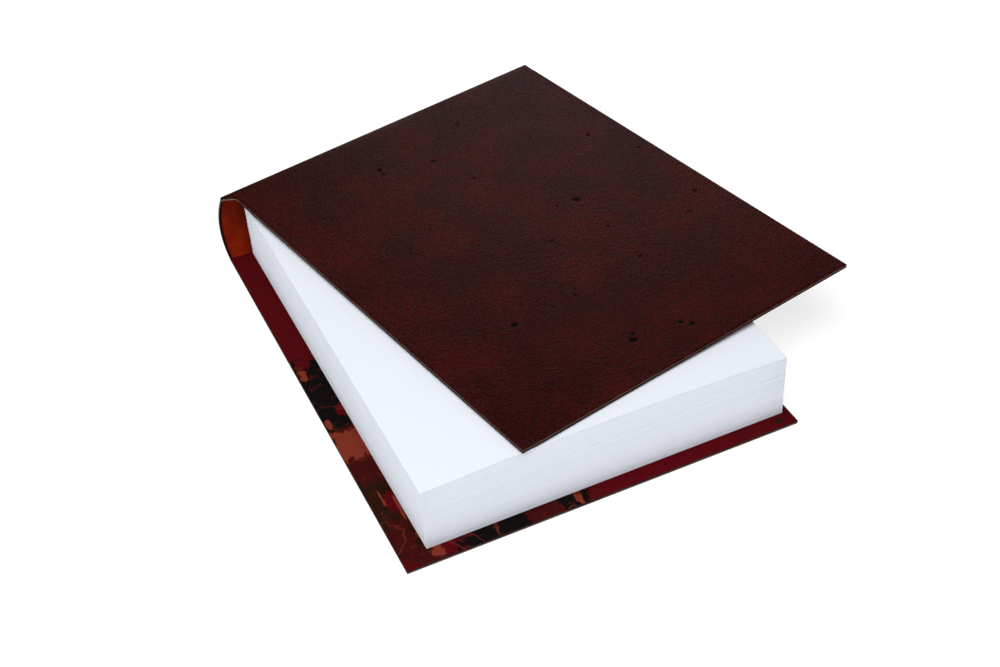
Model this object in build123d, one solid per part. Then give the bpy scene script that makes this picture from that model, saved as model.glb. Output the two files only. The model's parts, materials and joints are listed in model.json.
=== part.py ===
"""Scrapbook album bound on its short side in limp leather: millimetres, +Z up.

The album lies on its back cover. The origin is the centre of the back cover's underside,
+X runs from the spine to the fore edge and +Y from the tail to the head.
"""
from build123d import *
import os
from math import cos, radians, sin

# Driving dimensions
page_width = 280.0  # spine to fore edge of the page block
page_height = 210.0  # tail to head of the page block
section_count = 12  # folded gatherings of white card, the top one free to turn
section_thickness = 3.25
flyleaf_thickness = 0.4
page_crown = 2.8  # how far the top of the block swells up along its middle
crowned_sections = 4  # gatherings at the top that share the swelling

tail_margin = 14.5  # what the covers stand out past the block, on each free side
head_margin = 4.0
fore_margin = 9.0

leather_thickness = 1.2
board_thickness = 1.0
pastedown_thickness = 0.3
spine_leather_thickness = 2.2  # doubled hide, with no board in it
board_setback = 10.0  # the board starts this far from the outside of the fold

fold_gap = 0.3  # clearance round each leather fold
joint_seat = 0.35  # the spine leather's ends stop this far from the folds
hollow_gap = 0.35  # room between the spine leather and the block's linings
cover_lift = 3.5  # front cover's underside above the corners of the block
twist_angle = 11.9  # how far the limp front cover lies turned towards the head
twisted_fold_x = -0.5  # tail end of the front fold, from square over the back fold
twisted_fold_y = 8.7
fold_flare = 7.3  # the front fold's tail end is drawn out past the cover's tail edge
flare_width = 7.0  # the cover's tail edge runs straight from this far in from the fold
spine_bulge = 5.0  # how far the spine leather bellies out at the tail
spine_bulge_head = 1.0

tape_width = 15.0
tape_thickness = 0.4
tape_inset = 45.0  # centre of the outer tapes, from the head and the tail
kettle_inset = 12.0  # end stitches, from the head and the tail
thread_diameter = 0.4
mull_thickness = 0.3
liner_thickness = 0.2
mull_inset = 8.0  # the mull and liner stop short of the head and the tail
turning_gap = 0.3  # the spine linings stop this far under the turning section

# Derived places
cover_thickness = leather_thickness + board_thickness + pastedown_thickness
fold_radius = cover_thickness / 2
lining_thickness = tape_thickness + thread_diameter + mull_thickness + liner_thickness
spine_allowance = fold_radius + spine_leather_thickness / 2 + hollow_gap + lining_thickness
cover_width = spine_allowance + page_width + fore_margin  # outside of the fold to the fore edge
cover_height = page_height + tail_margin + head_margin
block_thickness = section_count * section_thickness + 2 * flyleaf_thickness
fore_x = cover_width / 2
tail_y = -cover_height / 2
head_y = cover_height / 2
block_x = fore_x - fore_margin - page_width
block_y = tail_y + tail_margin
block_z = cover_thickness
back_fold_x = -fore_x + fold_radius
panel_start = 2 * fold_radius + fold_gap
front_z = block_z + block_thickness + cover_lift
front_corner = (-fore_x + twisted_fold_x, tail_y + twisted_fold_y, front_z)
front_frame = Location(front_corner, (0, 0, twist_angle))
twist = radians(twist_angle)

os.makedirs("parts", exist_ok=True)


def write(solid, node):
    """Write one piece under its node's name."""
    export_step(solid, f"parts/{node}.step")


def slab(x, y, z, length, width, height):
    """A rectangular sheet from its lowest corner."""
    return Pos(x, y, z) * Box(length, width, height, align=(Align.MIN, Align.MIN, Align.MIN))


# Covers: limp flush-cut leather over a thin board, lined with decorated paper.
# Each is drawn closed and square, inner face down, with the fold's outside at x = 0.
def fold(flare):
    """The leather where it turns the corner, a round bead as thick as the cover."""
    bead = Cylinder(fold_radius, cover_height + flare, rotation=(90, 0, 0))
    return Pos(fold_radius, (cover_height - flare) / 2, fold_radius) * bead


def cover_leather(flare):
    """The hide, with a thicker lip beside the fold where no board lies under it. Where the
    fold is drawn out past the tail edge, the lip slants out to meet it."""
    under_hide = board_thickness + pastedown_thickness
    hide = slab(panel_start, 0, under_hide, cover_width - panel_start, cover_height, leather_thickness)
    lip_width = board_setback - panel_start
    lip = slab(panel_start, 0, pastedown_thickness, lip_width, cover_height, board_thickness)
    if flare == 0:
        return hide + lip
    slant_start = -flare * (1 - panel_start / flare_width)
    corners = [(panel_start, 0), (flare_width, 0), (panel_start, slant_start)]
    slant = extrude(make_face(Polyline(*corners, close=True)), cover_thickness - pastedown_thickness)
    return hide + lip + Pos(0, 0, pastedown_thickness) * slant


def cover_board():
    """Thin grey board that stiffens the cover, cut flush on its three free sides."""
    board_width = cover_width - board_setback
    return slab(board_setback, 0, pastedown_thickness, board_width, cover_height, board_thickness)


def cover_pastedown():
    """Decorated paper pasted over the board and the lip inside the cover, up to the fold."""
    return slab(panel_start, 0, 0, cover_width - panel_start, cover_height, pastedown_thickness)


# The back cover lies inner face up, so the same sheets are stacked the other way.
back_frame = Location((-fore_x, head_y, cover_thickness), (180, 0, 0))
for frame, side, flare in ((back_frame, "back", 0), (front_frame, "front", fold_flare)):
    write(frame * fold(flare), f"{side}_fold_leather")
    write(frame * cover_leather(flare), f"{side}_cover_leather")
    write(frame * cover_board(), f"{side}_cover_board")
    write(frame * cover_pastedown(), f"{side}_pastedown")


# Spine leather: one limp strip from the back fold up to the front fold. It stands upright
# and bellied out at the tail, and is drawn out flat and slanting at the head.
def strip_profile(y_low, y_high, fold_x, bulge):
    """Cross-section of the strip in the plane through its two end points at one end."""
    run = fold_x - back_fold_x
    up = Vector(0, y_high - y_low, front_z)
    plane = Plane(origin=(back_fold_x, y_low, fold_radius), x_dir=(1, 0, 0), z_dir=Vector(1, 0, 0).cross(up))
    middle = (run / 2 - bulge, up.length / 2)
    centre_line = ThreePointArc((0, 0), middle, (run, up.length))

    def face_of_hide(distance):
        """The centre line moved sideways by half a thickness."""
        points = []
        for along in (0, 0.5, 1):
            tangent = centre_line % along
            points.append(centre_line @ along + Vector(-tangent.Y, tangent.X) * distance)
        return ThreePointArc(*points)

    outer = face_of_hide(spine_leather_thickness / 2)
    inner = face_of_hide(-spine_leather_thickness / 2)
    return plane * make_face([outer, Line(outer @ 1, inner @ 1), inner, Line(inner @ 0, outer @ 0)])


fold_way = Vector(-sin(twist), cos(twist), 0)
fold_tail = front_frame.position + Vector(fold_radius * cos(twist), fold_radius * sin(twist), 0)
fold_head = fold_tail + fold_way * cover_height
flared_tail = fold_tail - fold_way * fold_flare
tail_profile = strip_profile(tail_y, flared_tail.Y, flared_tail.X, spine_bulge)
head_profile = strip_profile(head_y, fold_head.Y, fold_head.X, spine_bulge_head)
strip_low = 2 * fold_radius + joint_seat
strip_high = front_z - joint_seat
strip_space = Pos(0, 0, (strip_low + strip_high) / 2) * Box(
    4 * cover_width, 4 * cover_height, strip_high - strip_low
)
spine_leather = loft([tail_profile, head_profile], ruled=True) & strip_space
write(spine_leather, "spine_leather")


# Page block: folded gatherings of white card between two flyleaves. The lower ones are
# flat, and the top ones swell a little more each towards the middle of their length.
def crown_at(level):
    """Height of the swelling on top of gathering number level."""
    swollen = max(0, level - (section_count - crowned_sections))
    return page_crown * (swollen / crowned_sections) ** 1.5


def sheet_edge(z, crown):
    """The block's outline at one height, across from the tail to the head."""
    tail_end = (block_y, z)
    head_end = (block_y + page_height, z)
    if crown == 0:
        return Line(tail_end, head_end)
    return ThreePointArc(tail_end, (block_y + page_height / 2, z + crown), head_end)


def leaves(z, thickness, crown_below, crown_above):
    """A stack of leaves between two such outlines."""
    low = sheet_edge(z, crown_below)
    high = sheet_edge(z + thickness, crown_above)
    outline = make_face([low, Line(low @ 1, high @ 1), high, Line(high @ 0, low @ 0)])
    upright = Plane(origin=(block_x, 0, 0), x_dir=(0, 1, 0), z_dir=(1, 0, 0))
    return extrude(upright * outline, page_width)


write(leaves(block_z, flyleaf_thickness, 0, 0), "back_flyleaf")
section_z = [block_z + flyleaf_thickness + i * section_thickness for i in range(section_count + 1)]
for i in range(section_count):
    gathering = leaves(section_z[i], section_thickness, crown_at(i), crown_at(i + 1))
    write(gathering, f"section_{i + 1:02d}")
write(leaves(section_z[-1], flyleaf_thickness, page_crown, page_crown), "front_flyleaf")

# Sewing and linings on the back of the block, under the leather. They hold every
# gathering but the top one, which hangs by its own fold so that it can turn.
lining_top = section_z[section_count - 1] - turning_gap
lining_height = lining_top - block_z
tape_y = [block_y + tape_inset, block_y + page_height / 2, block_y + page_height - tape_inset]
for centre_y, place in zip(tape_y, ("tail", "middle", "head")):
    tape = Box(tape_thickness, tape_width, lining_height, align=(Align.MAX, Align.CENTER, Align.MIN))
    write(Pos(block_x, centre_y, block_z) * tape, f"linen_tape_{place}")

stitch_x = block_x - tape_thickness - thread_diameter / 2
stitches = []
for level in section_z[: section_count - 1]:
    for centre_y in tape_y:
        stitch = Cylinder(thread_diameter / 2, tape_width, rotation=(90, 0, 0))
        stitches.append(Pos(stitch_x, centre_y, level + section_thickness / 2) * stitch)
for kettle_y in (block_y + kettle_inset, block_y + page_height - kettle_inset):
    chain = Cylinder(thread_diameter / 2, lining_height)
    stitches.append(Pos(block_x - thread_diameter / 2, kettle_y, block_z + lining_height / 2) * chain)
write(Compound(children=stitches), "sewing_thread")

lining_length = page_height - 2 * mull_inset
mull_x = block_x - tape_thickness - thread_diameter - mull_thickness
mull = slab(mull_x, block_y + mull_inset, block_z, mull_thickness, lining_length, lining_height)
write(mull, "spine_mull")
liner_x = mull_x - liner_thickness
liner = slab(liner_x, block_y + mull_inset, block_z, liner_thickness, lining_length, lining_height)
write(liner, "spine_paper_liner")

# Where the pieces turn, in metres, for whoever joins them
turn_x = block_x - 0.1
print("back fold axis", back_fold_x / 1000, 0, fold_radius / 1000)
print("front fold axis", fold_tail.X / 1000, fold_tail.Y / 1000, (front_z + fold_radius) / 1000)
print("front fold direction", fold_way.X, fold_way.Y, 0)
print("top section turns at", turn_x / 1000, 0, section_z[section_count - 1] / 1000)
print("flyleaf turns at", turn_x / 1000, 0, section_z[-1] / 1000)
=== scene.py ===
"""Landscape scrapbook album in limp leather, lying on its back cover with the front cover swung askew.

Metres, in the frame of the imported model: +X runs from the spine to the fore edge, +Y from tail to head.
"""
import json
import math
import random

import bmesh
import bpy
import numpy as np
from mathutils import Matrix, Vector, noise


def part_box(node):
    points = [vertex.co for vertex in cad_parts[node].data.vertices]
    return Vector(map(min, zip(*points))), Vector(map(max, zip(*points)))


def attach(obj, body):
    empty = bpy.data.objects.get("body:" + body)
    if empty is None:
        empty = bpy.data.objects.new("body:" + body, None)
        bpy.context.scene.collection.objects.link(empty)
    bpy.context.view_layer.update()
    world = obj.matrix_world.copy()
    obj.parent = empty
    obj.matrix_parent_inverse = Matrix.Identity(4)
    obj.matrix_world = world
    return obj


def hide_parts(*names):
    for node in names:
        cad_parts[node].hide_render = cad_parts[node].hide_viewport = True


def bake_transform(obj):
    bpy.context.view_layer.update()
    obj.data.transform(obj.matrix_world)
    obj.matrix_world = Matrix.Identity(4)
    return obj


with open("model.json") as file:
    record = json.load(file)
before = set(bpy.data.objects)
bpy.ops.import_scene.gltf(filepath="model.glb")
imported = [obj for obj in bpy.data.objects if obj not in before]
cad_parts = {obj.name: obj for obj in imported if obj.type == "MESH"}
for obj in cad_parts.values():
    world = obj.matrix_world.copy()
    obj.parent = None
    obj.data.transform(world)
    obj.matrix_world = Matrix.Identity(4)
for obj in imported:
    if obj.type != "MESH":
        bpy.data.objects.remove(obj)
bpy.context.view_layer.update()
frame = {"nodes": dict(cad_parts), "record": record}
MM = 0.001


# ---- White card -------------------------------------------------------------------------
# Heavy white drawing card, a little cool, with a faint felt surface. The same fibre effect
# serves every paper in the album, so it is one group.
def add(tree, kind, inputs=None, **settings):
    """Put one node in a shader or geometry tree. An input is given a value or another socket."""
    made = tree.nodes.new(kind)
    for name, value in settings.items():
        setattr(made, name, value)
    for name, value in (inputs or {}).items():
        if isinstance(value, bpy.types.NodeSocket):
            tree.links.new(value, made.inputs[name])
        else:
            made.inputs[name].default_value = value
    return made


def sums(tree, operation, first, second=0.0, third=None, clamp=False):
    """One step of arithmetic in a tree."""
    values = {0: first, 1: second}
    if third is not None:
        values[2] = third
    return add(tree, "ShaderNodeMath", values, operation=operation, use_clamp=clamp).outputs[0]


def between(tree, value, low, high):
    """0 below low, 1 above high, and a smooth step from one to the other."""
    inputs = {"Value": value, "From Min": low, "From Max": high}
    step = add(tree, "ShaderNodeMapRange", inputs, interpolation_type="SMOOTHSTEP")
    return step.outputs["Result"]


def tinted(tree, share, under, over):
    """The colour under, covered by the colour over where share is 1."""
    mix = add(tree, "ShaderNodeMix", data_type="RGBA")
    for place, value in ((0, share), (6, under), (7, over)):
        if isinstance(value, bpy.types.NodeSocket):
            tree.links.new(value, mix.inputs[place])
        elif place == 0:
            mix.inputs[0].default_value = value
        else:
            mix.inputs[place].default_value = (*value, 1)
    return mix.outputs[2]


def group(name, takes, gives):
    """An empty shader group with its sockets. takes maps an input to its default (None for a
    vector), and gives lists the outputs."""
    tree = bpy.data.node_groups.new(name, "ShaderNodeTree")
    for socket, default in takes.items():
        kind = "NodeSocketVector" if default is None else "NodeSocketFloat"
        made = tree.interface.new_socket(socket, in_out="INPUT", socket_type=kind)
        if default is not None:
            made.default_value = default
    for socket in gives:
        tree.interface.new_socket(socket, in_out="OUTPUT", socket_type="NodeSocketFloat")
    return tree, tree.nodes.new("NodeGroupInput").outputs, tree.nodes.new("NodeGroupOutput")


def material(name, roughness):
    """A new material, its tree and its Principled shader."""
    made = bpy.data.materials.new(name)
    made.use_nodes = True
    shader = made.node_tree.nodes["Principled BSDF"]
    shader.inputs["Roughness"].default_value = roughness
    return made, made.node_tree, shader


def bump(tree, shader, height, distance, strength=1.0):
    """Raise the surface by a height that varies over it."""
    raised = add(tree, "ShaderNodeBump", {"Height": height, "Distance": distance, "Strength": strength})
    tree.links.new(raised.outputs["Normal"], shader.inputs["Normal"])


fibre, given, out = group("paper_fibre", {"Place": None, "Fineness": 1500.0}, ["Felt", "Cloud"])
felt = add(fibre, "ShaderNodeTexNoise", {"Vector": given["Place"], "Scale": given["Fineness"], "Detail": 3.0})
cloud_scale = sums(fibre, "DIVIDE", given["Fineness"], 60.0)
cloud = add(fibre, "ShaderNodeTexNoise", {"Vector": given["Place"], "Scale": cloud_scale, "Detail": 2.0})
fibre.links.new(felt.outputs["Fac"], out.inputs["Felt"])
fibre.links.new(cloud.outputs["Fac"], out.inputs["Cloud"])

white_card, tree, shader = material("white_card", 0.82)
shader.inputs["Specular IOR Level"].default_value = 0.25
place = add(tree, "ShaderNodeTexCoord").outputs["Object"]
paper = add(tree, "ShaderNodeGroup", {}, node_tree=fibre)
tree.links.new(place, paper.inputs["Place"])
leaf = add(tree, "ShaderNodeAttribute", attribute_name="leaf").outputs["Fac"]
shade = sums(tree, "MULTIPLY_ADD", paper.outputs["Cloud"], 0.25, sums(tree, "MULTIPLY", leaf, 0.45))
colour = tinted(tree, shade, (0.855, 0.885, 0.955), (0.77, 0.80, 0.88))
tree.links.new(colour, shader.inputs["Base Color"])
bump(tree, shader, paper.outputs["Felt"], 0.00003, 0.5)


# ---- Gatherings -------------------------------------------------------------------------
# Twelve gatherings of eight sheets, each sheet folded once and nested in the next, so that
# the backs are round. Trimming left the edges a hair uneven. The top four swell a little.
SHEETS = 8
FOLD_POINTS = 7
PAGE_CUTS = 9
UNEVENNESS = 0.00014  # how far the sheets' edges stray

gathering = bpy.data.node_groups.new("folded_gathering", "GeometryNodeTree")
for socket, kind in (
    ("Sheets", "Int"), ("Page Width", "Float"), ("Page Height", "Float"), ("Thickness", "Float"),
    ("Crown Below", "Float"), ("Crown Above", "Float"), ("Unevenness", "Float"), ("Seed", "Int"),
    ("Card", "Material"),
):
    gathering.interface.new_socket(socket, in_out="INPUT", socket_type="NodeSocket" + kind)
gathering.interface.new_socket("Leaves", in_out="OUTPUT", socket_type="NodeSocketGeometry")
given = gathering.nodes.new("NodeGroupInput").outputs

# The path across one sheet: in from the fore edge, round the fold, and out again
path_points = add(gathering, "GeometryNodeMeshLine", {"Count": FOLD_POINTS + 2})
path = add(gathering, "GeometryNodeMeshToCurve", {"Mesh": path_points.outputs[0]})
sheets = add(gathering, "GeometryNodeDuplicateElements",
             {"Geometry": path.outputs[0], "Amount": given["Sheets"]}, domain="SPLINE")
sheet_number = sheets.outputs["Duplicate Index"]
step = add(gathering, "GeometryNodeSplineParameter").outputs["Index"]
leaf_pitch = sums(gathering, "DIVIDE", given["Thickness"], sums(gathering, "MULTIPLY", given["Sheets"], 2.0))
fold_centre = sums(gathering, "MULTIPLY", given["Thickness"], 0.5)
fold_reach = sums(gathering, "MULTIPLY", sums(gathering, "ADD", sheet_number, 0.5), leaf_pitch)
turned = sums(gathering, "DIVIDE", sums(gathering, "SUBTRACT", step, 1.0), FOLD_POINTS - 1.0)
angle = sums(gathering, "MULTIPLY_ADD", turned, math.pi, -math.pi / 2)
fold_x = sums(gathering, "SUBTRACT", fold_centre,
              sums(gathering, "MULTIPLY", sums(gathering, "COSINE", angle), fold_reach))
fold_z = sums(gathering, "MULTIPLY", sums(gathering, "SINE", angle), fold_reach)
first = sums(gathering, "LESS_THAN", step, 0.5)
last = sums(gathering, "GREATER_THAN", step, FOLD_POINTS + 0.5)
at_end = sums(gathering, "ADD", first, last)
number = sums(gathering, "ADD", sums(gathering, "MULTIPLY", sheet_number, 2.0), last)
trim = add(gathering, "FunctionNodeRandomValue", {"ID": number, "Seed": given["Seed"]}, data_type="FLOAT")
fore_x = sums(gathering, "SUBTRACT", given["Page Width"],
              sums(gathering, "MULTIPLY", trim.outputs[1], given["Unevenness"]))
end_z = sums(gathering, "MULTIPLY", sums(gathering, "SUBTRACT", last, first), fold_reach)
x = sums(gathering, "ADD", sums(gathering, "MULTIPLY", at_end, fore_x),
         sums(gathering, "MULTIPLY", sums(gathering, "SUBTRACT", 1.0, at_end), fold_x))
z = sums(gathering, "ADD", sums(gathering, "MULTIPLY", at_end, end_z),
         sums(gathering, "MULTIPLY", sums(gathering, "SUBTRACT", 1.0, at_end), fold_z))
slip_seed = sums(gathering, "ADD", given["Seed"], 100.0)
slip = add(gathering, "FunctionNodeRandomValue", {"ID": sheet_number, "Seed": slip_seed}, data_type="FLOAT")
slip_y = sums(gathering, "MULTIPLY", sums(gathering, "SUBTRACT", slip.outputs[1], 0.5), given["Unevenness"])
z = sums(gathering, "ADD", z, fold_centre)
spot = add(gathering, "ShaderNodeCombineXYZ", {"X": x, "Y": slip_y, "Z": z})
bent = add(gathering, "GeometryNodeSetPosition", {"Geometry": sheets.outputs[0], "Position": spot.outputs[0]})
told = add(gathering, "GeometryNodeStoreNamedAttribute",
           {"Geometry": bent.outputs[0], "Name": "leaf", "Value": trim.outputs[1]},
           data_type="FLOAT", domain="POINT")

# The card's own thickness, swept along that path from tail to head, then the swelling
section_height = sums(gathering, "SUBTRACT", given["Page Height"], given["Unevenness"])
section_shape = add(gathering, "GeometryNodeCurvePrimitiveQuadrilateral",
                    {"Width": section_height, "Height": sums(gathering, "MULTIPLY", leaf_pitch, 0.95)})
section_cut = add(gathering, "GeometryNodeSubdivideCurve",
                  {"Curve": section_shape.outputs[0], "Cuts": PAGE_CUTS})
swept = add(gathering, "GeometryNodeCurveToMesh",
            {"Curve": told.outputs[0], "Profile Curve": section_cut.outputs[0], "Fill Caps": True})
spot = add(gathering, "ShaderNodeSeparateXYZ", {0: add(gathering, "GeometryNodeInputPosition").outputs[0]})
across = sums(gathering, "DIVIDE", sums(gathering, "MULTIPLY", spot.outputs["Y"], 2.0), given["Page Height"])
swell = sums(gathering, "SUBTRACT", 1.0, sums(gathering, "MULTIPLY", across, across))
level = sums(gathering, "DIVIDE", spot.outputs["Z"], given["Thickness"])
growth = sums(gathering, "SUBTRACT", given["Crown Above"], given["Crown Below"])
crown = sums(gathering, "MULTIPLY_ADD", level, growth, given["Crown Below"])
rise = add(gathering, "ShaderNodeCombineXYZ", {"Z": sums(gathering, "MULTIPLY", swell, crown)})
crowned = add(gathering, "GeometryNodeSetPosition", {"Geometry": swept.outputs[0], "Offset": rise.outputs[0]})
whole = add(gathering, "GeometryNodeRealizeInstances", {"Geometry": crowned.outputs[0]})
painted = add(gathering, "GeometryNodeSetMaterial", {"Geometry": whole.outputs[0], "Material": given["Card"]})
gathering.links.new(painted.outputs[0], gathering.nodes.new("NodeGroupOutput").inputs[0])


def grow(name, tree, sizes, place):
    """Run a Geometry Nodes tree once with these inputs, and keep its mesh as a piece set at place."""
    piece = bpy.data.objects.new(name, bpy.data.meshes.new(name))
    bpy.context.scene.collection.objects.link(piece)
    rule = piece.modifiers.new(tree.name, "NODES")
    rule.node_group = tree
    for socket in tree.interface.items_tree:
        if socket.in_out == "INPUT":
            rule[socket.identifier] = sizes[socket.name]
    shape = piece.evaluated_get(bpy.context.evaluated_depsgraph_get())
    mesh = bpy.data.meshes.new_from_object(shape)
    piece.modifiers.clear()
    piece.data = mesh
    mesh.transform(place)
    return piece


sections = sorted(name for name in frame["nodes"] if name.startswith("section_"))
body_of = {node: body for body, nodes in frame["record"]["behaviour"]["bodies"].items() for node in nodes}
block_low, flat_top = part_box(sections[0])
block_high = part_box(sections[-1])[1]
page_width = block_high.x - block_low.x
page_height = block_high.y - block_low.y
block_middle = (block_low.y + block_high.y) / 2
section_thickness = flat_top.z - block_low.z

for count, node in enumerate(sections):
    base = block_low.z + count * section_thickness
    crown_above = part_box(node)[1].z - base - section_thickness
    crown_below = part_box(sections[count - 1])[1].z - base if count else 0.0
    sizes = {
        "Sheets": SHEETS, "Page Width": page_width, "Page Height": page_height,
        "Thickness": section_thickness, "Crown Below": crown_below, "Crown Above": crown_above,
        "Unevenness": UNEVENNESS, "Seed": count + 1, "Card": white_card,
    }
    place = Matrix.Translation((block_low.x, block_middle, base))
    leaves = grow("gathering_" + node[-2:], gathering, sizes, place)
    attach(leaves, body_of[node])
    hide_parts(node)


# ---- Flyleaves --------------------------------------------------------------------------
# One loose-cut leaf of the same card under the block and one over it. The lower one is
# pasted to the back cover, and the upper one lies on the swelling of the block.
def ribbon(name, outer, inner, finishes):
    """A closed sheet between two grids of points. finishes are for its outer side, inner side and edges."""
    outer = np.asarray(outer, float)
    inner = np.asarray(inner, float)
    rows, across = outer.shape[:2]
    number = np.arange(2 * rows * across).reshape(2, rows, across)
    o, i = number
    walls = [
        (0, np.stack([o[:-1, :-1], o[:-1, 1:], o[1:, 1:], o[1:, :-1]], -1)),
        (1, np.stack([i[:-1, :-1], i[1:, :-1], i[1:, 1:], i[:-1, 1:]], -1)),
        (2, np.stack([o[:-1, 0], o[1:, 0], i[1:, 0], i[:-1, 0]], -1)),
        (2, np.stack([o[:-1, -1], i[:-1, -1], i[1:, -1], o[1:, -1]], -1)),
        (2, np.stack([o[0, :-1], i[0, :-1], i[0, 1:], o[0, 1:]], -1)),
        (2, np.stack([o[-1, :-1], o[-1, 1:], i[-1, 1:], i[-1, :-1]], -1)),
    ]
    quads = np.concatenate([wall.reshape(-1, 4) for _, wall in walls])
    finish = np.concatenate([np.full(wall.size // 4, side) for side, wall in walls])
    mesh = bpy.data.meshes.new(name)
    mesh.from_pydata(np.concatenate([outer, inner]).reshape(-1, 3).tolist(), [], quads.tolist())
    for item in finishes:
        mesh.materials.append(item)
    mesh.polygons.foreach_set("material_index", finish.astype(np.int32))
    shell = bmesh.new()
    shell.from_mesh(mesh)
    bmesh.ops.recalc_face_normals(shell, faces=shell.faces)
    shell.to_mesh(mesh)
    shell.free()
    mesh.shade_smooth()
    mesh.set_sharp_from_angle(angle=math.radians(40))
    piece = bpy.data.objects.new(name, mesh)
    bpy.context.scene.collection.objects.link(piece)
    return piece


def steps(low, high, size):
    """Even steps of about this size from low to high."""
    return np.linspace(low, high, max(1, round((high - low) / size)) + 1)


def flyleaf(name, node, crown, ripple, seed):
    """A leaf of card over the block's arched top, with a faint ripple that fades at its edges."""
    low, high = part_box(node)
    thickness = high.z - low.z - crown
    xs = steps(low.x, high.x, 0.008)
    ys = steps(low.y, high.y, 0.006)
    under = np.zeros((len(xs), len(ys), 3))
    for row, x in enumerate(xs):
        for column, y in enumerate(ys):
            arch = crown * (1 - ((y - block_middle) / (page_height / 2)) ** 2)
            drift = noise.noise(Vector((x * 14, y * 14, seed)))
            fade = math.sin(math.pi * (x - low.x) / page_width)
            fade *= math.sin(math.pi * (y - low.y) / page_height)
            under[row, column] = (x, y, low.z + arch + ripple * fade * (drift + 0.5))
    over = under + np.array((0, 0, thickness))
    leaf = ribbon(name, over, under, [white_card] * 3)
    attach(leaf, body_of[node])
    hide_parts(node)


LEAF_RIPPLE = 0.00012
block_crown = crown_above
flyleaf("lower_flyleaf", "back_flyleaf", 0.0, 0.0, 1.0)
flyleaf("upper_flyleaf", "front_flyleaf", block_crown, LEAF_RIPPLE, 2.0)


# ---- Sewing and spine linings -----------------------------------------------------------
# Two-ply waxed linen thread runs over three woven linen tapes and is linked to the next
# gathering by kettle stitches. Open-weave mull and brown paper are glued over the backs.
weave, given, out = group("plain_weave", {"Place": None, "Threads": 900.0}, ["Height", "Holes"])
scaled = add(weave, "ShaderNodeVectorMath", {0: given["Place"], "Scale": given["Threads"]}, operation="SCALE")
ways = add(weave, "ShaderNodeSeparateXYZ", {0: scaled.outputs[0]})
warp = sums(weave, "SINE", sums(weave, "MULTIPLY", ways.outputs["Y"], 2 * math.pi))
weft = sums(weave, "SINE", sums(weave, "MULTIPLY", ways.outputs["Z"], 2 * math.pi))
over_under = sums(weave, "MULTIPLY", warp, weft)
height = sums(weave, "MULTIPLY_ADD", over_under, 0.5, 0.5)
threads = sums(weave, "MAXIMUM", sums(weave, "ABSOLUTE", warp), sums(weave, "ABSOLUTE", weft))
weave.links.new(height, out.inputs["Height"])
weave.links.new(between(weave, threads, 0.35, 0.6), out.inputs["Holes"])


def cloth(name, light, dark, threads, roughness):
    """A plain-woven material: light threads over dark hollows, with painted light where the threads rise over
    a crossing and painted shade in the hollows.
    """
    made, tree, shader = material(name, roughness)
    place = add(tree, "ShaderNodeTexCoord").outputs["Object"]
    woven = add(tree, "ShaderNodeGroup", {}, node_tree=weave)
    tree.links.new(place, woven.inputs["Place"])
    woven.inputs["Threads"].default_value = threads
    slub = add(tree, "ShaderNodeTexNoise", {"Vector": place, "Scale": threads / 4, "Detail": 2.0})
    # Painted light and shade: the threads are lighter than the hollows between them, and lighter still where
    # they rise over a crossing
    lit = sums(tree, "MULTIPLY", woven.outputs["Holes"], slub.outputs["Fac"])
    share = sums(tree, "MULTIPLY_ADD", woven.outputs["Height"], 0.35, lit, clamp=True)
    tree.links.new(tinted(tree, share, dark, light), shader.inputs["Base Color"])
    bump(tree, shader, woven.outputs["Height"], 0.0001, 0.7)
    return made


linen = cloth("linen_tape", (0.72, 0.66, 0.52), (0.36, 0.31, 0.22), 1100.0, 0.85)
mull_cloth = cloth("mull_gauze", (0.80, 0.77, 0.68), (0.38, 0.33, 0.24), 700.0, 0.9)

kraft, tree, shader = material("brown_paper", 0.75)
place = add(tree, "ShaderNodeTexCoord").outputs["Object"]
paper = add(tree, "ShaderNodeGroup", {}, node_tree=fibre)
tree.links.new(place, paper.inputs["Place"])
paper.inputs["Fineness"].default_value = 900.0
streak = add(tree, "ShaderNodeTexWave", {"Vector": place, "Scale": 60.0, "Distortion": 3.0, "Detail": 2.0},
             bands_direction="Y")
ribs = sums(tree, "MULTIPLY_ADD", streak.outputs["Fac"], 0.3, paper.outputs["Felt"], clamp=True)
tree.links.new(tinted(tree, ribs, (0.24, 0.13, 0.06), (0.42, 0.27, 0.14)), shader.inputs["Base Color"])
bump(tree, shader, paper.outputs["Felt"], 0.00005, 0.6)

for node, finish in (
    ("linen_tape_tail", linen), ("linen_tape_middle", linen), ("linen_tape_head", linen),
    ("spine_mull", mull_cloth), ("spine_paper_liner", kraft),
):
    frame["nodes"][node].data.materials.clear()
    frame["nodes"][node].data.materials.append(finish)

waxed, tree, shader = material("waxed_thread", 0.5)
place = add(tree, "ShaderNodeTexCoord").outputs["Object"]
paper = add(tree, "ShaderNodeGroup", {}, node_tree=fibre)
tree.links.new(place, paper.inputs["Place"])
paper.inputs["Fineness"].default_value = 4000.0
tree.links.new(tinted(tree, paper.outputs["Felt"], (0.62, 0.56, 0.44), (0.84, 0.80, 0.70)),
               shader.inputs["Base Color"])
bump(tree, shader, paper.outputs["Felt"], 0.00003, 0.6)

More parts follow.
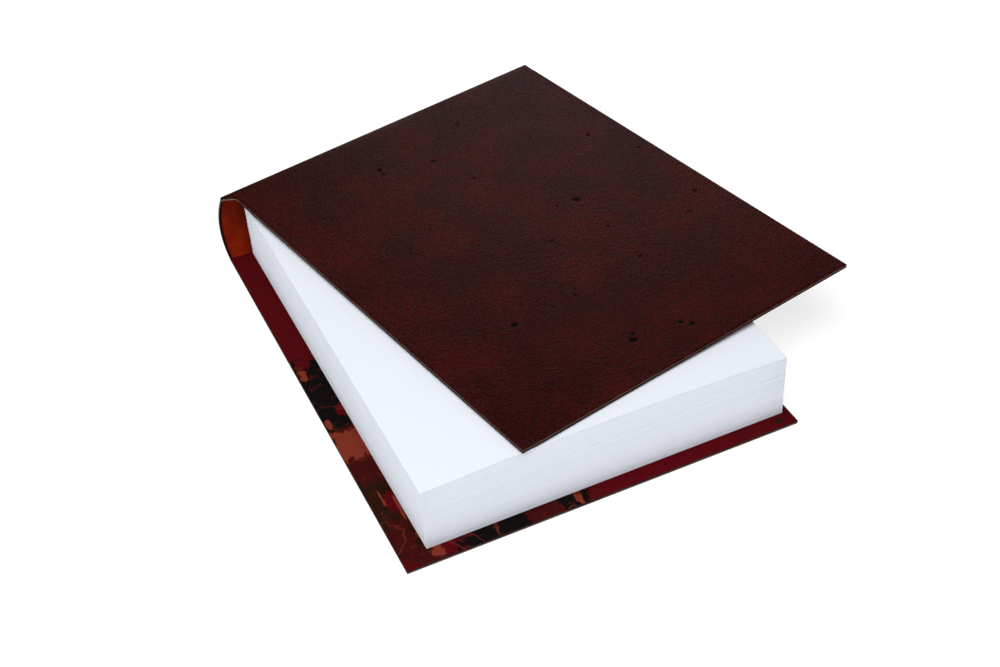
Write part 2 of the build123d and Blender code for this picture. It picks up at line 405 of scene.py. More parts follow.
stitching = bpy.data.node_groups.new("twisted_stitches", "GeometryNodeTree")
for socket, kind in (
    ("Count", "Int"), ("Pitch", "Float"), ("Length", "Float"), ("Thread", "Float"), ("Turns", "Float"),
    ("Wax", "Material"),
):
    stitching.interface.new_socket(socket, in_out="INPUT", socket_type="NodeSocket" + kind)
stitching.interface.new_socket("Stitches", in_out="OUTPUT", socket_type="NodeSocketGeometry")
given = stitching.nodes.new("NodeGroupInput").outputs
ply_radius = sums(stitching, "MULTIPLY", given["Thread"], 0.25)
ply = add(stitching, "GeometryNodeCurveSpiral", {
    "Resolution": 8, "Rotations": given["Turns"], "Start Radius": ply_radius, "End Radius": ply_radius,
    "Height": given["Length"],
})
second = add(stitching, "GeometryNodeTransform", {"Geometry": ply.outputs[0], "Rotation": (0, 0, math.pi)})
plies = add(stitching, "GeometryNodeJoinGeometry")
stitching.links.new(ply.outputs[0], plies.inputs[0])
stitching.links.new(second.outputs[0], plies.inputs[0])
round_ply = add(stitching, "GeometryNodeCurvePrimitiveCircle", {"Resolution": 6, "Radius": ply_radius})
twisted = add(stitching, "GeometryNodeCurveToMesh",
              {"Curve": plies.outputs[0], "Profile Curve": round_ply.outputs[0], "Fill Caps": True})
apart = add(stitching, "ShaderNodeCombineXYZ", {"Z": given["Pitch"]})
holes = add(stitching, "GeometryNodeMeshLine", {"Count": given["Count"], "Offset": apart.outputs[0]})
laid = add(stitching, "GeometryNodeInstanceOnPoints", {
    "Points": holes.outputs[0], "Instance": twisted.outputs[0], "Rotation": (-math.pi / 2, 0, 0),
})
whole = add(stitching, "GeometryNodeRealizeInstances", {"Geometry": laid.outputs[0]})
painted = add(stitching, "GeometryNodeSetMaterial", {"Geometry": whole.outputs[0], "Material": given["Wax"]})
stitching.links.new(painted.outputs[0], stitching.nodes.new("NodeGroupOutput").inputs[0])

tape_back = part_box("linen_tape_middle")[0].x
thread_low, thread_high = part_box("sewing_thread")
THREAD = 0.4 * MM
stitch_x = tape_back - THREAD / 2
sewn = len(sections) - 1
rows_of_stitches = []
for tape in ("tail", "middle", "head"):
    low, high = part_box("linen_tape_" + tape)
    sizes = {"Count": sewn, "Pitch": section_thickness, "Length": high.y - low.y, "Thread": THREAD,
             "Turns": 6.0, "Wax": waxed}
    place = Matrix.Translation((stitch_x, low.y, block_low.z + section_thickness / 2))
    rows_of_stitches.append(grow("stitches_" + tape, stitching, sizes, place))
for end, y in (("tail", thread_low.y + THREAD / 2), ("head", thread_high.y - THREAD / 2)):
    chain_height = thread_high.z - thread_low.z
    sizes = {"Count": 1, "Pitch": 0.0, "Length": chain_height, "Thread": THREAD, "Turns": 14.0, "Wax": waxed}
    upright = Matrix.Translation((thread_high.x - THREAD / 2, y, thread_low.z))
    place = upright @ Matrix.Rotation(math.pi / 2, 4, "X")
    rows_of_stitches.append(grow("kettle_" + end, stitching, sizes, place))
for row in rows_of_stitches:
    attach(row, body_of["sewing_thread"])
    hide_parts("sewing_thread")


# ---- Boards -----------------------------------------------------------------------------
# A millimetre of grey pasteboard in each cover. Only its cut edge is seen, stained and
# rubbed dark together with the leather's edge, with the layers just showing.
grey_board, tree, shader = material("grey_board", 0.8)
shader.inputs["Specular IOR Level"].default_value = 0.1
place = add(tree, "ShaderNodeTexCoord").outputs["Object"]
layered = add(tree, "ShaderNodeMapping", {"Vector": place, "Scale": (120, 120, 3500)})
layers = add(tree, "ShaderNodeTexNoise", {"Vector": layered.outputs[0], "Scale": 1.0, "Detail": 3.0})
shown = between(tree, layers.outputs["Fac"], 0.45, 0.75)
colour = tinted(tree, shown, (0.010, 0.0050, 0.0040), (0.045, 0.022, 0.014))
tree.links.new(colour, shader.inputs["Base Color"])
bump(tree, shader, layers.outputs["Fac"], 0.00008, 0.6)
for node in ("back_cover_board", "front_cover_board"):
    frame["nodes"][node].data.materials.clear()
    frame["nodes"][node].data.materials.append(grey_board)


# ---- Pastedowns -------------------------------------------------------------------------
# Decorated paper pasted inside each cover: a dark wine ground, floated with black and brown
# colour that broke into patches, flecks and thin salmon veins.
WINE = (0.078, 0.0018, 0.0042)
SOOT = (0.0045, 0.0032, 0.0030)
UMBER = (0.019, 0.0062, 0.0026)
DUSK = (0.042, 0.0040, 0.0036)
SALMON = (0.170, 0.026, 0.014)

floated, given, out = group("floated_colour", {"Place": None, "Size": 10.0}, ["Pool", "Vein", "Fleck"])
stir = add(floated, "ShaderNodeTexNoise", {"Vector": given["Place"], "Scale": given["Size"], "Detail": 4.0})
swirl = add(floated, "ShaderNodeVectorMath", {0: stir.outputs["Color"], "Scale": 0.035}, operation="SCALE")
stirred = add(floated, "ShaderNodeVectorMath", {0: given["Place"], 1: swirl.outputs[0]}, operation="ADD")
pool_size = sums(floated, "MULTIPLY", given["Size"], 2.2)
pool = add(floated, "ShaderNodeTexNoise", {"Vector": stirred.outputs[0], "Scale": pool_size, "Detail": 5.0})
vein_size = sums(floated, "MULTIPLY", given["Size"], 3.4)
ridge = add(floated, "ShaderNodeTexNoise", {"Vector": stirred.outputs[0], "Scale": vein_size, "Detail": 3.0})
off_ridge = sums(floated, "ABSOLUTE", sums(floated, "SUBTRACT", ridge.outputs["Fac"], 0.5))
thin = sums(floated, "SUBTRACT", 1.0, between(floated, off_ridge, 0.004, 0.016))
broken = between(floated, stir.outputs["Fac"], 0.50, 0.60)
fleck_size = sums(floated, "MULTIPLY", given["Size"], 22.0)
fleck = add(floated, "ShaderNodeTexNoise", {"Vector": given["Place"], "Scale": fleck_size, "Detail": 3.0})
floated.links.new(pool.outputs["Fac"], out.inputs["Pool"])
floated.links.new(sums(floated, "MULTIPLY", thin, broken), out.inputs["Vein"])
floated.links.new(between(floated, fleck.outputs["Fac"], 0.58, 0.66), out.inputs["Fleck"])


def decorated(name, patches, plain_up_to):
    """Floated-colour paper. patches are (colour, x, y, length, width), given one by one, and the paper is
    plain ground colour as far as plain_up_to, reckoned slantwise from the head end of the spine."""
    made, tree, shader = material(name, 0.65)
    shader.inputs["Specular IOR Level"].default_value = 0.03
    place = add(tree, "ShaderNodeTexCoord").outputs["Object"]
    colours = add(tree, "ShaderNodeGroup", {}, node_tree=floated)
    tree.links.new(place, colours.inputs["Place"])
    paper = add(tree, "ShaderNodeGroup", {}, node_tree=fibre)
    tree.links.new(place, paper.inputs["Place"])
    ways = add(tree, "ShaderNodeSeparateXYZ", {0: place}).outputs
    slantwise = sums(tree, "MULTIPLY_ADD", ways["Y"], -1.75, ways["X"])
    busy = between(tree, slantwise, plain_up_to, plain_up_to + 0.02)
    pool = colours.outputs["Pool"]
    shade = tinted(tree, sums(tree, "MULTIPLY", paper.outputs["Cloud"], 0.35), WINE, UMBER)
    brown = sums(tree, "MULTIPLY", between(tree, pool, 0.48, 0.54), busy)
    colour = tinted(tree, brown, shade, UMBER)
    black = sums(tree, "MULTIPLY", between(tree, pool, 0.60, 0.63), busy)
    colour = tinted(tree, black, colour, SOOT)
    ragged = add(tree, "ShaderNodeTexNoise",
                 {"Vector": place, "Scale": 150.0, "Detail": 7.0, "Roughness": 0.62})
    for ink, x, y, length, width in patches:
        centred = add(tree, "ShaderNodeMapping", {
            "Vector": place, "Location": (-x / length, -y / width, 0), "Scale": (1 / length, 1 / width, 0),
        })
        away = add(tree, "ShaderNodeVectorMath", {0: centred.outputs[0]}, operation="LENGTH")
        reach = sums(tree, "MULTIPLY_ADD", ragged.outputs["Fac"], 1.3, away.outputs["Value"])
        share = sums(tree, "SUBTRACT", 1.0, between(tree, reach, 1.08, 1.16))
        colour = tinted(tree, share, colour, ink)
    light = sums(tree, "MULTIPLY", colours.outputs["Vein"], busy)
    flecks = sums(tree, "MULTIPLY", sums(tree, "MULTIPLY", colours.outputs["Fleck"], busy), 0.16)
    colour = tinted(tree, sums(tree, "MAXIMUM", sums(tree, "MULTIPLY", light, 0.5), flecks), colour, SALMON)
    tree.links.new(colour, shader.inputs["Base Color"])
    bump(tree, shader, paper.outputs["Felt"], 0.00003, 0.5)
    return made


tail_strip = [
    (UMBER, 0.090, -0.106, 0.060, 0.040), (SOOT, 0.005, -0.107, 0.064, 0.036),
    (WINE, 0.020, -0.100, 0.014, 0.008), (SALMON, -0.017, -0.111, 0.011, 0.005),
    (SALMON, 0.029, -0.112, 0.008, 0.004), (SALMON, 0.051, -0.107, 0.030, 0.030),
    (DUSK, 0.071, -0.105, 0.024, 0.026), (WINE, 0.100, -0.103, 0.016, 0.008),
    (SALMON, 0.104, -0.101, 0.018, 0.0018), (SALMON, 0.093, -0.107, 0.016, 0.0014),
    (DUSK, 0.128, -0.108, 0.030, 0.016),
]
fore_strip = [
    (DUSK, 0.142, -0.100, 0.020, 0.016), (SALMON, 0.141, -0.094, 0.010, 0.007),
    (WINE, 0.141, -0.086, 0.020, 0.012), (SOOT, 0.142, -0.062, 0.026, 0.046),
    (DUSK, 0.142, -0.036, 0.020, 0.020), (SOOT, 0.142, -0.019, 0.024, 0.018),
    (SALMON, 0.142, -0.016, 0.010, 0.004), (WINE, 0.142, 0.040, 0.030, 0.090),
    (UMBER, 0.142, 0.105, 0.004, 0.005),
]
back_paper = decorated("decorated_paper_back", tail_strip + fore_strip, 0.150)
front_paper = decorated("decorated_paper_front", [], -0.400)
for node, finish in (("back_pastedown", back_paper), ("front_pastedown", front_paper)):
    frame["nodes"][node].data.materials.clear()
    frame["nodes"][node].data.materials.append(finish)


# ---- Leather ----------------------------------------------------------------------------
# One limp hide, dyed oxblood on the grain side and left orange-tan on the flesh side. It has
# a fine pebble grain, the odd healed scar and insect pit, and edges cut square and burnished.
grain, given, out = group("hide_grain", {"Place": None, "Pebbles": 640.0}, ["Height", "Crease", "Cloud"])
wander = add(grain, "ShaderNodeTexNoise", {"Vector": given["Place"], "Scale": 260.0, "Detail": 2.0})
drift = add(grain, "ShaderNodeVectorMath", {0: wander.outputs["Color"], "Scale": 0.0016}, operation="SCALE")
drifted = add(grain, "ShaderNodeVectorMath", {0: given["Place"], 1: drift.outputs[0]}, operation="ADD")
pebble = add(grain, "ShaderNodeTexVoronoi", {"Vector": drifted.outputs[0], "Scale": given["Pebbles"]},
             feature="DISTANCE_TO_EDGE")
swollen = between(grain, pebble.outputs["Distance"], 0.0, 0.32)
pore_size = sums(grain, "MULTIPLY", given["Pebbles"], 3.0)
pores = add(grain, "ShaderNodeTexNoise", {"Vector": given["Place"], "Scale": pore_size, "Detail": 3.0})
cloud = add(grain, "ShaderNodeTexNoise", {"Vector": given["Place"], "Scale": 26.0, "Detail": 5.0})
drawn = add(grain, "ShaderNodeMapping", {"Vector": drifted.outputs[0], "Scale": (430, 240, 300)})
folds = add(grain, "ShaderNodeTexNoise", {"Vector": drawn.outputs[0], "Scale": 1.0, "Detail": 3.0})
patch = add(grain, "ShaderNodeTexNoise", {"Vector": given["Place"], "Scale": 17.0})
patchy = between(grain, patch.outputs["Fac"], 0.38, 0.62)
folded = sums(grain, "MULTIPLY", folds.outputs["Fac"], sums(grain, "MULTIPLY_ADD", patchy, 1.5, 0.9))
height = sums(grain, "MULTIPLY_ADD", pores.outputs["Fac"], 0.35, sums(grain, "MULTIPLY", swollen, 0.6))
height = sums(grain, "ADD", folded, height)
grain.links.new(height, out.inputs["Height"])
grain.links.new(sums(grain, "SUBTRACT", 1.0, swollen), out.inputs["Crease"])
grain.links.new(cloud.outputs["Fac"], out.inputs["Cloud"])


def reading(tree, name, output="Fac"):
    """What a piece's own attribute says, at each point of it."""
    return add(tree, "ShaderNodeAttribute", attribute_name=name).outputs[output]


oxblood, tree, shader = material("oxblood_hide", 0.46)
shader.inputs["Specular IOR Level"].default_value = 0.08
place = reading(tree, "hide", "Vector")
skin = add(tree, "ShaderNodeGroup", {}, node_tree=grain)
tree.links.new(place, skin.inputs["Place"])
mottle = between(tree, skin.outputs["Cloud"], 0.35, 0.68)
colour = tinted(tree, mottle, (0.0400, 0.0012, 0.0009), (0.0720, 0.0022, 0.0016))
# Painted shade: the creases between the pebbles are painted near black.
colour = tinted(tree, sums(tree, "MULTIPLY", skin.outputs["Crease"], 0.85), colour, (0.006, 0.0010, 0.0010))
# Part rubbed wear and part painted sheen: the tops of the grain are painted a lighter, greyer brown over the
# folds and the spine strip, where it stands for gloss on the rounding, and along the cut edges, where it is
# wear.
rub_and_sheen = sums(tree, "MULTIPLY", reading(tree, "wear_and_sheen"), between(tree, skin.outputs["Height"], 0.9, 1.8))
colour = tinted(tree, sums(tree, "MULTIPLY", rub_and_sheen, 0.6), colour, (0.050, 0.024, 0.017))
ragged = add(tree, "ShaderNodeTexNoise", {"Vector": place, "Scale": 520.0, "Detail": 4.0})
scar = sums(tree, "MULTIPLY_ADD", ragged.outputs["Fac"], 1.2, reading(tree, "scar"))
scarred = between(tree, scar, 0.94, 1.16)
colour = tinted(tree, scarred, colour, (0.0022, 0.0016, 0.0016))
tree.links.new(colour, shader.inputs["Base Color"])
dull = sums(tree, "MULTIPLY_ADD", skin.outputs["Crease"], 0.12, 0.26)
tree.links.new(sums(tree, "MULTIPLY_ADD", scarred, 0.3, dull), shader.inputs["Roughness"])
hollow = sums(tree, "MULTIPLY_ADD", scarred, -1.5, skin.outputs["Height"])
bump(tree, shader, hollow, 0.00015, 0.85)

flesh, tree, shader = material("flesh_side", 0.95)
shader.inputs["Specular IOR Level"].default_value = 0.03
place = reading(tree, "hide", "Vector")
nap = add(tree, "ShaderNodeTexNoise", {"Vector": place, "Scale": 1500.0, "Detail": 4.0})
cloudy = add(tree, "ShaderNodeTexNoise", {"Vector": place, "Scale": 90.0, "Detail": 3.0})
brushed = sums(tree, "MULTIPLY_ADD", cloudy.outputs["Fac"], 0.5,
               sums(tree, "MULTIPLY", nap.outputs["Fac"], 0.6))
suede = tinted(tree, between(tree, brushed, 0.35, 0.75), (0.11, 0.0060, 0.0014), (0.25, 0.019, 0.0035))
dyed_in = between(tree, reading(tree, "rim"), 0.25, 0.6)
tree.links.new(tinted(tree, dyed_in, suede, (0.012, 0.0025, 0.0018)), shader.inputs["Base Color"])
bump(tree, shader, nap.outputs["Fac"], 0.00015, 0.8)

cut_edge, tree, shader = material("burnished_edge", 0.5)
shader.inputs["Specular IOR Level"].default_value = 0.08
place = reading(tree, "hide", "Vector")
skin = add(tree, "ShaderNodeGroup", {}, node_tree=grain)
tree.links.new(place, skin.inputs["Place"])
uneven = sums(tree, "SUBTRACT", skin.outputs["Cloud"], 0.5)
depth = sums(tree, "MULTIPLY_ADD", uneven, 0.5, reading(tree, "depth"))
core = sums(tree, "MULTIPLY", between(tree, depth, 0.30, 0.48),
            sums(tree, "SUBTRACT", 1.0, between(tree, depth, 0.74, 0.92)))
core = sums(tree, "MULTIPLY", core, between(tree, skin.outputs["Height"], 0.2, 1.2))
tree.links.new(tinted(tree, core, (0.010, 0.0030, 0.0024), (0.20, 0.12, 0.08)), shader.inputs["Base Color"])
bump(tree, shader, skin.outputs["Height"], 0.0001, 0.5)
hide_finishes = [oxblood, flesh, cut_edge]

# The folds' axes carry the whole wrap: everything below is measured from them
bead_low, bead_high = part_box("back_fold_leather")
cover_thickness = bead_high.z - bead_low.z
bead_radius = cover_thickness / 2
tail_y, head_y = bead_low.y, bead_high.y
cover_height = head_y - tail_y
cover_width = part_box("back_cover_leather")[1].x - bead_low.x
board_low, board_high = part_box("back_cover_board")
board_start = board_low.x - bead_low.x
paper_low, paper_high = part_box("back_pastedown")
paper_start = paper_low.x - bead_low.x
paper_thickness = paper_high.z - paper_low.z
hide_under = board_high.z - board_low.z + paper_thickness
strip_low, strip_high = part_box("spine_leather")
SPINE_LEATHER = 2.2 * MM
BELLY_TAIL = 5.0 * MM
BELLY_HEAD = 1.0 * MM
PROFILE_POINTS = 90

hinge = next(j for j in frame["record"]["behaviour"]["joints"] if j["name"] == "front_cover_hinge")
front_fold_tail = Vector(hinge["pos_m"])
fold_way = -Vector(hinge["axis"]).normalized()
front_fold_head = front_fold_tail + fold_way * cover_height
front_bead = np.array([corner.co for corner in frame["nodes"]["front_fold_leather"].data.vertices])
fold_flare = -((front_bead - np.array(front_fold_tail)) @ np.array(fold_way)).min()
flared_tail = front_fold_tail - fold_way * fold_flare
FLARE_WIDTH = 7.0 * MM  # the cover's tail edge slants out over this width beside the fold
TAIL_BOW = 2.4 * MM  # how far the strip's tail end bows out at half its height
BOW_REACH = 40 * MM  # and how far in from the tail the bow dies away
across_way = fold_way.cross(Vector((0, 0, 1)))
front_place = Matrix.Identity(4)
front_place.col[0].xyz = across_way
front_place.col[1].xyz = fold_way
front_place.translation = front_fold_tail - bead_radius * (across_way + Vector((0, 0, 1)))
back_place = Matrix.Diagonal((1, 1, -1, 1))
back_place.translation = (bead_low.x, tail_y, bead_high.z)

FOLD_TUCK = 0.15 * MM  # the inner face of a fold starts this far short of the lining paper
FOLD_LIFT = 0.02 * MM  # and this far above the underside of it
EDGE_ROUND = 0.5 * MM
RIM_WIDTH = 2.6 * MM  # how far the dye has soaked in from the strip's cut ends
MESH_STEP = 1.6 * MM
RIPPLE = 0.09 * MM
GROOVE = 0.22 * MM  # the hollow pressed beside the fold
GROOVE_WIDTH = 1.7 * MM
SCAR_DEPTH = 0.22 * MM
SCAR_SQUASH = 0.75  # a scar's width from spine to fore edge, as a share of its length
CALM_WIDTH = 4 * MM  # ripples and scars die away this far from an edge
rim = [0.0, 0.06 * MM, 0.2 * MM]
stations = np.array(rim + list(steps(EDGE_ROUND, cover_height - EDGE_ROUND, MESH_STEP))
                    + [cover_height - d for d in reversed(rim)])


def rounding(distance):
    """How far a rounded edge falls away at this distance in from it."""
    short = np.clip(EDGE_ROUND - distance, 0, EDGE_ROUND)
    return EDGE_ROUND - np.sqrt(EDGE_ROUND**2 - short**2)


edge_fall = rounding(np.minimum(stations, cover_height - stations))


def arc_through(start, middle, end, offset, count):
    """Points on the arc through three points in a plane, moved out from its centre by offset."""
    ax, ay = start
    bx, by = middle
    cx, cy = end
    sides = np.array([[bx - ax, by - ay], [cx - ax, cy - ay]]) * 2
    squares = np.array([bx**2 - ax**2 + by**2 - ay**2, cx**2 - ax**2 + cy**2 - ay**2])
    centre = np.linalg.solve(sides, squares)
    radius = math.hypot(ax - centre[0], ay - centre[1])
    angles = np.unwrap([math.atan2(y - centre[1], x - centre[0]) for x, y in (start, middle, end)])
    turn = np.linspace(angles[0], angles[2], count)
    return centre + (radius + offset) * np.stack([np.cos(turn), np.sin(turn)], -1)


def strip_end(low, high, belly, offset):
    """The strip's profile at its tail or head end, as points in space."""
    up = Vector((0, high.y - low.y, high.z - low.z))
    run = high.x - low.x
    middle = (run / 2 - belly, up.length / 2)
    flat = arc_through((0, 0), middle, (run, up.length), offset, PROFILE_POINTS)
    up = np.array(up.normalized())
    return np.array(low) + flat[:, :1] * np.array((1, 0, 0)) + flat[:, 1:] * up


back_fold_x = bead_low.x + bead_radius
low_tail = Vector((back_fold_x, tail_y, bead_low.z + bead_radius))
low_head = Vector((back_fold_x, head_y, bead_low.z + bead_radius))


def strip_face(heights, offset):
    """One face of the spine strip: rows at these heights, across from the tail to the head."""
    tail = strip_end(low_tail, flared_tail, BELLY_TAIL, offset)
    head = strip_end(low_head, front_fold_head, BELLY_HEAD, offset)
    climb = np.clip((np.array(heights) - low_tail.z) / (flared_tail.z - low_tail.z), 0, 1)
    face = np.zeros((len(heights), len(stations), 3))
    for column, distance in enumerate(stations):
        share = distance / cover_height
        line = tail * (1 - share) + head * share
        for axis in range(3):
            face[:, column, axis] = np.interp(heights, line[:, 2], line[:, axis])
        face[:, column, 1] -= TAIL_BOW * 4 * climb * (1 - climb) * max(0, 1 - distance / BOW_REACH) ** 2
    return face


def strip(heights):
    """Both faces of the spine strip, with the outer one rounded at the two cut ends."""
    outer = strip_face(heights, SPINE_LEATHER / 2)
    inner = strip_face(heights, -SPINE_LEATHER / 2)
    inward = inner - outer
    inward /= np.linalg.norm(inward, axis=2, keepdims=True)
    return outer + inward * edge_fall[None, :, None], inner


def to_place(place, points):
    """Points from a cover's own frame to the album's, or back with the place inverted."""
    return points @ np.array(place)[:3, :3].T + np.array(place.translation)


def cover(place, flare, strip_outer, scars, seed):
    """The fold and the panel of one cover, from the end of the strip to the fore edge.
    Drawn with the outside of the fold at x = 0, the tail at y = 0 and the inner face at z = 0.
    The fold's tail end stands out past the tail by the flare."""
    outer_end = to_place(place.inverted(), strip_outer)
    outer, inner, wear_and_sheen = [], [], []
    drawn_out = flare * (1 - stations / cover_height)
    folded = stations - drawn_out

    # Round the fold, from where the strip's outer face touches it to its top
    reach_x = outer_end[:, 0] - bead_radius
    reach_z = outer_end[:, 2] - bead_radius
    reach = np.hypot(reach_x, reach_z)
    touch = np.unwrap(np.arctan2(reach_z, reach_x)) % (2 * math.pi) - np.arccos(bead_radius / reach)
    turns = 9
    for part in range(turns + 1):
        share = part / turns
        angle = touch + (math.pi / 2 - touch) * share
        radius = bead_radius - edge_fall
        outer.append(np.stack([
            bead_radius + radius * np.cos(angle), folded, bead_radius + radius * np.sin(angle),
        ], -1))
        crease = paper_start - FOLD_TUCK * (1 - share)
        inner.append(np.stack([
            np.full_like(stations, crease), folded,
            np.full_like(stations, FOLD_LIFT + (paper_thickness - FOLD_LIFT) * share),
        ], -1))
        # Over the fold itself the grain tops are painted lighter: sheen on the rounding as well as wear
        wear_and_sheen.append(np.full_like(stations, 0.5 + 0.5 * share))

    # Across the panel, over the lip and then the board, to the fore edge
    lip_rows = list(steps(bead_radius, board_start - 0.01 * MM, MESH_STEP))[1:]
    panel_rows = list(steps(board_start, cover_width - EDGE_ROUND, MESH_STEP))
    edge_rows = [cover_width - d for d in reversed(rim)]
    meet = board_start * 0.6
    for x in lip_rows + panel_rows + edge_rows:
        fall = edge_fall + rounding(cover_width - x)
        sink = np.zeros_like(stations)
        dent = np.zeros_like(stations)
        for column, y in enumerate(stations):
            ripple = noise.noise(Vector((x * 22, y * 22, seed)))
            ripple += 0.4 * noise.noise(Vector((x * 70, y * 70, seed)))
            sink[column] = RIPPLE * (1.4 - ripple) / 2
        groove = GROOVE * math.exp(-(((x - board_start * 0.85) / GROOVE_WIDTH) ** 2))
        for scar_x, scar_y, size in scars:
            away = np.hypot(x - scar_x * MM, (stations - scar_y * MM) * SCAR_SQUASH) / (size * MM)
            dent = np.maximum(dent, np.exp(-away**2))
        still = np.minimum(1, np.minimum(stations, cover_height - stations) / CALM_WIDTH)
        still = still * min(1, (cover_width - x) / CALM_WIDTH, (x - bead_radius) / CALM_WIDTH)
        height = cover_thickness - np.minimum(fall, EDGE_ROUND) - groove - still * (sink + SCAR_DEPTH * dent)
        line = stations - drawn_out * max(0, 1 - (x - bead_radius) / (FLARE_WIDTH - bead_radius))
        outer.append(np.stack([np.full_like(stations, x), line, height], -1))
        inner_x = x
        if x < meet:
            inner_x = paper_start + (x - bead_radius) * (meet - paper_start) / (meet - bead_radius)
        inner_z = paper_thickness if x < board_start else hide_under
        inner.append(np.stack([np.full_like(stations, inner_x), line, np.full_like(stations, inner_z)], -1))
        # Painted sheen fading out over a few millimetres from the fold, and rubbed wear along the cut edges
        from_fold = math.exp(-(((x - bead_radius) / (5 * MM)) ** 2))
        nearest = np.minimum(np.minimum(stations, cover_height - stations), cover_width - x)
        wear_and_sheen.append(np.maximum(from_fold, 0.7 * np.exp(-nearest / (0.8 * MM))))
    outer, inner = np.array(outer), np.array(inner)
    return to_place(place, outer), to_place(place, inner), np.array(wear_and_sheen)


def note(piece, name, values):
    """Give each point of a piece a number or a vector that its materials read."""
    kind, field = ("FLOAT_VECTOR", "vector") if values.ndim == 2 else ("FLOAT", "value")
    piece.data.attributes.new(name, kind, "POINT").data.foreach_set(field, values.astype(np.float32).ravel())


def hide(name, outer, inner, wear_and_sheen, scars, place):
    """One stretch of the hide as a piece, with what its materials need to know."""
    piece = ribbon(name, outer, inner, hide_finishes)
    points = np.concatenate([outer.reshape(-1, 3), inner.reshape(-1, 3)])
    half = len(points) // 2
    scar = np.zeros(len(points))
    own = to_place(place.inverted(), points)
    for scar_x, scar_y, size in scars:
        away = np.hypot(own[:, 0] - scar_x * MM, (own[:, 1] - scar_y * MM) * SCAR_SQUASH) / (size * MM)
        scar = np.maximum(scar, np.exp(-away**2) * (own[:, 2] > cover_thickness / 2))
    note(piece, "hide", points)
    note(piece, "depth", (np.arange(len(points)) >= half).astype(float))
    # The lighter grain tops: painted sheen near the folds, rubbed wear at the edges
    note(piece, "wear_and_sheen", np.concatenate([wear_and_sheen.ravel(), np.zeros(half)]))
    note(piece, "scar", scar)
    from_end = np.minimum(stations, cover_height - stations)
    rim_share = np.clip(1 - from_end / RIM_WIDTH, 0, 1)
    note(piece, "rim", np.tile(rim_share, len(points) // len(stations)))
    return piece


front_scars = [
    (146, 155, 2.1), (143, 142, 1.2), (214, 56, 1.9), (265, 96, 2.0), (261, 99, 1.3), (270, 125, 1.6),
    (275, 129, 1.4), (212, 147, 1.3), (178, 152, 1.2), (128, 220, 1.4), (185, 214, 1.4), (41, 83, 1.5),
    (47, 82, 1.2), (140, 81, 1.1), (87, 122, 1.2), (55, 114, 1.4), (216, 97, 0.9), (199, 197, 1.2),
    (74, 176, 1.0), (31, 150, 1.1), (108, 40, 0.9), (244, 30, 0.9), (96, 205, 1.3), (168, 118, 0.9),
]
random.seed(7)
back_scars = [(random.uniform(15, 285), random.uniform(10, 218), random.uniform(0.8, 1.8)) for _ in range(16)]

FOOT_HEIGHT = 2.4 * MM  # of the strip that goes with the back cover's piece
CAP_HEIGHT = 1.2 * MM  # and with the front cover's
seam_low = strip_low.z + FOOT_HEIGHT
seam_high = strip_high.z - CAP_HEIGHT
foot_rows = list(steps(strip_low.z, seam_low, 0.6 * MM))
wall_rows = list(steps(seam_low, seam_high, MESH_STEP))
top_rows = list(steps(seam_high, strip_high.z, 0.4 * MM))

# Back cover, back fold and the foot of the spine
outer, inner = strip(foot_rows)
panel_outer, panel_inner, wear_and_sheen = cover(back_place, 0.0, outer[0], back_scars, 11.0)
# The foot of the strip gets a little painted sheen
whole_wear_and_sheen = np.concatenate([np.full(outer.shape[:2], 0.3), wear_and_sheen])
back_hide = hide("back_cover_hide", np.concatenate([outer[::-1], panel_outer]),
                 np.concatenate([inner[::-1], panel_inner]), whole_wear_and_sheen, back_scars, back_place)
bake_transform(back_hide)
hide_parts("back_cover_leather", "back_fold_leather")

# The strip across the spine, which is drawn askew by the cover that it carries
outer, inner = strip(wall_rows)
# The strip gets a faint painted sheen all over
spine_hide = hide("spine_hide", outer, inner, np.full(outer.shape[:2], 0.15), [], back_place)
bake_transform(spine_hide)
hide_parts("spine_leather")

# The top of the spine, front fold and front cover
outer, inner = strip(top_rows)
panel_outer, panel_inner, wear_and_sheen = cover(front_place, fold_flare, outer[-1], front_scars, 5.0)
# The top of the strip gets a little more painted sheen
whole_wear_and_sheen = np.concatenate([np.full(outer.shape[:2], 0.4), wear_and_sheen])
front_hide = hide("front_cover_hide", np.concatenate([outer, panel_outer]),
                  np.concatenate([inner, panel_inner]), whole_wear_and_sheen, front_scars, front_place)
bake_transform(front_hide)
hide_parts("front_fold_leather", "front_cover_leather")


# ---- Studio -----------------------------------------------------------------------------
# A white table that is lit a little from within, large soft lamps in front and above, and a
# weak one behind the spine's head that draws a sheen over the far corner of the front cover.
floor_mesh = bpy.data.meshes.new("table_top")
HALF_TABLE = 4.0
TABLE_GAP = 0.2 * MM  # the table lies this far under the album, so that their faces don't meet
table_corners = [(x * HALF_TABLE, y * HALF_TABLE, 0) for x, y in ((-1, -1), (1, -1), (1, 1), (-1, 1))]
floor_mesh.from_pydata(table_corners, [], [(0, 1, 2, 3)])
floor = bpy.data.objects.new("table_top", floor_mesh)
bpy.context.scene.collection.objects.link(floor)
white_table, tree, shader = material("white_table", 0.9)
shader.inputs["Base Color"].default_value = (0.40, 0.40, 0.40, 1)
shader.inputs["Emission Color"].default_value = (1, 1, 1, 1)
shader.inputs["Emission Strength"].default_value = 0.73
shader.inputs["Specular IOR Level"].default_value = 0.0
floor_mesh.materials.append(white_table)
floor.location.z = -TABLE_GAP


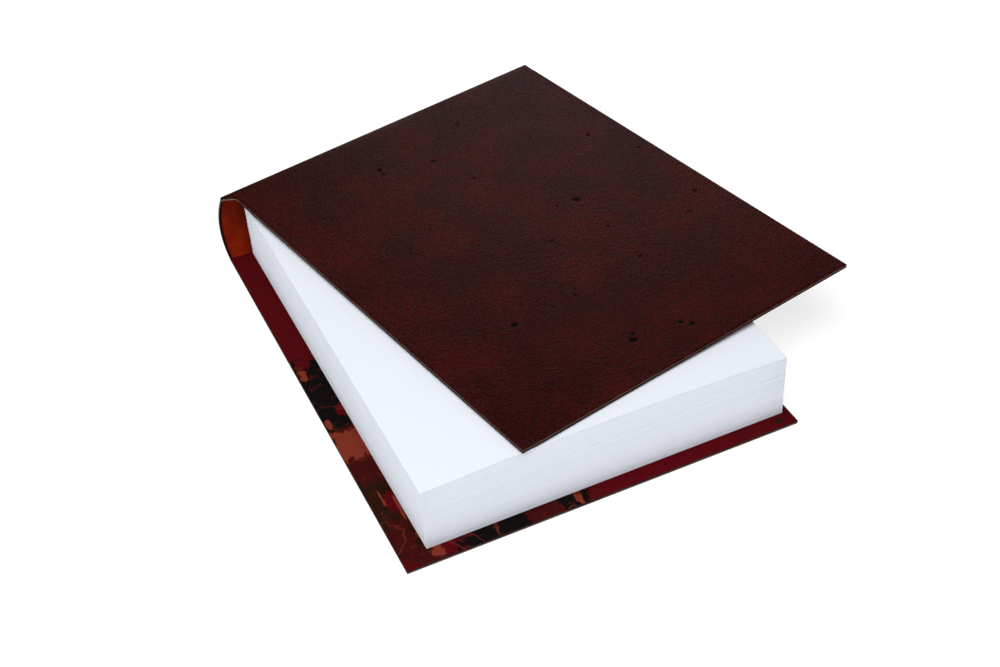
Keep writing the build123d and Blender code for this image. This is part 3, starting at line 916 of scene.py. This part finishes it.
def lamp(name, place, aim, size, power, colour=(1, 1, 1), glare=False):
    """A soft lamp that faces a point. Without glare it has a polariser, and leaves no gloss."""
    light = bpy.data.lights.new(name, "AREA")
    light.shape = "RECTANGLE"
    light.size, light.size_y = size
    light.energy = power
    light.color = colour
    holder = bpy.data.objects.new(name, light)
    holder.location = place
    holder.rotation_euler = (Vector(aim) - Vector(place)).to_track_quat("-Z", "Y").to_euler()
    holder.visible_glossy = glare
    bpy.context.scene.collection.objects.link(holder)


lamp("key_lamp", (0.55, -0.50, 1.6), (0, 0, 0), (1.5, 1.5), 33)
lamp("fore_lamp", (1.4, 0.9, 0.75), (0.1, 0.05, 0.02), (1.4, 1.0), 4.5, (0.97, 0.98, 1))
lamp("tail_lamp", (-0.2, -1.7, 0.8), (0, 0, 0.02), (1.8, 1.0), 4.5, (0.97, 0.98, 1))
lamp("sheen_lamp", (-1.64, 0.87, 0.9), (0, 0.1, 0.05), (1.1, 0.7), 3.2, glare=True)

world = bpy.data.worlds.new("pale_room")
bpy.context.scene.world = world
world.use_nodes = True
background = world.node_tree.nodes["Background"]
background.inputs["Color"].default_value = (0.95, 0.97, 1, 1)
seen = add(world.node_tree, "ShaderNodeLightPath").outputs["Is Camera Ray"]
strength = sums(world.node_tree, "MULTIPLY_ADD", seen, 0.95, 0.05)
world.node_tree.links.new(strength, background.inputs["Strength"])

camera_data = bpy.data.cameras.new("camera")
camera_data.lens = 54.87
camera_data.sensor_width = 36.0
camera = bpy.data.objects.new("camera", camera_data)
bpy.context.scene.collection.objects.link(camera)
CAMERA_ROLL = 3.85
eye = Vector((0.6308, -0.2587, 0.5758))
look = (Vector((0.0229, -0.0041, 0.02)) - eye).normalized()
level_right = look.cross(Vector((0, 0, 1))).normalized()
right = Matrix.Rotation(math.radians(CAMERA_ROLL), 3, look) @ level_right
above = right.cross(look)
camera.matrix_world = Matrix.Translation(eye) @ Matrix((right, above, -look)).transposed().to_4x4()
bpy.context.scene.camera = camera
bpy.context.scene.view_settings.view_transform = "Standard"
